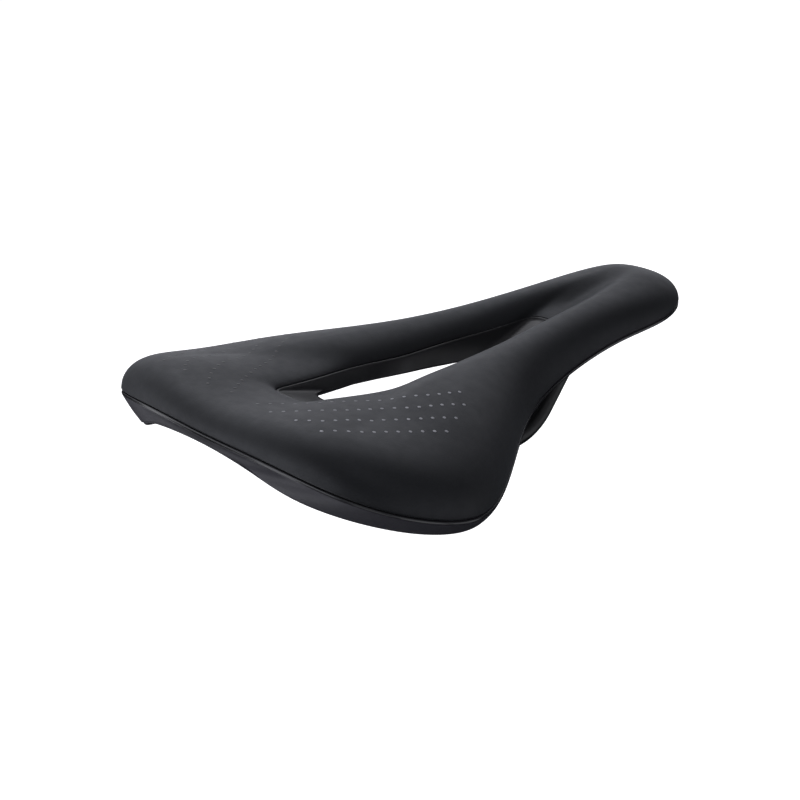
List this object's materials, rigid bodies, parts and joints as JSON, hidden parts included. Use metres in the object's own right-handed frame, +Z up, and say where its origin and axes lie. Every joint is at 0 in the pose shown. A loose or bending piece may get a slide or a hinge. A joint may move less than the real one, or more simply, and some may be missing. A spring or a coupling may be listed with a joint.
{
  "type": "bicycle saddle",
  "caption": "Short-nosed black bicycle saddle with a long relief cutout, a padded seamless cover, a stiff shell and a bent steel rail for a seatpost clamp.",
  "frame": {"origin": "centre of the seatpost clamp: midway between the rail's two straight lengths, at their mid-length, at the height of their centre lines", "axes": "+Y to the nose, +X to the saddle's right-hand side, +Z up"},
  "size_m": [0.1586, 0.2452, 0.0499],
  "materials": {
    "cover": "satin black moulded synthetic skin",
    "foam": "moulded open-cell foam",
    "shell": "fine-textured black nylon with a glossy edge bead",
    "liner": "smooth satin black",
    "rail": "satin black paint on steel",
    "rubber": "matte black",
    "fixings": "satin black moulded nylon",
    "screws": "black oxide steel"
  },
  "bodies": {
    "root": {"cover": "cover", "foam_pad": "foam", "base_shell": "shell", "cutout_liner": "liner", "rail": "rail", "nose_bracket": "fixings", "nose_cap": "fixings", "nose_screw_back": "screws", "nose_screw_front": "screws", "socket_right": "fixings", "socket_left": "fixings", "bush_right": "rubber", "bush_left": "rubber", "socket_screw_right_inner": "screws", "socket_screw_right_outer": "screws", "socket_screw_left_inner": "screws", "socket_screw_left_outer": "screws"}
  },
  "joints": []
}
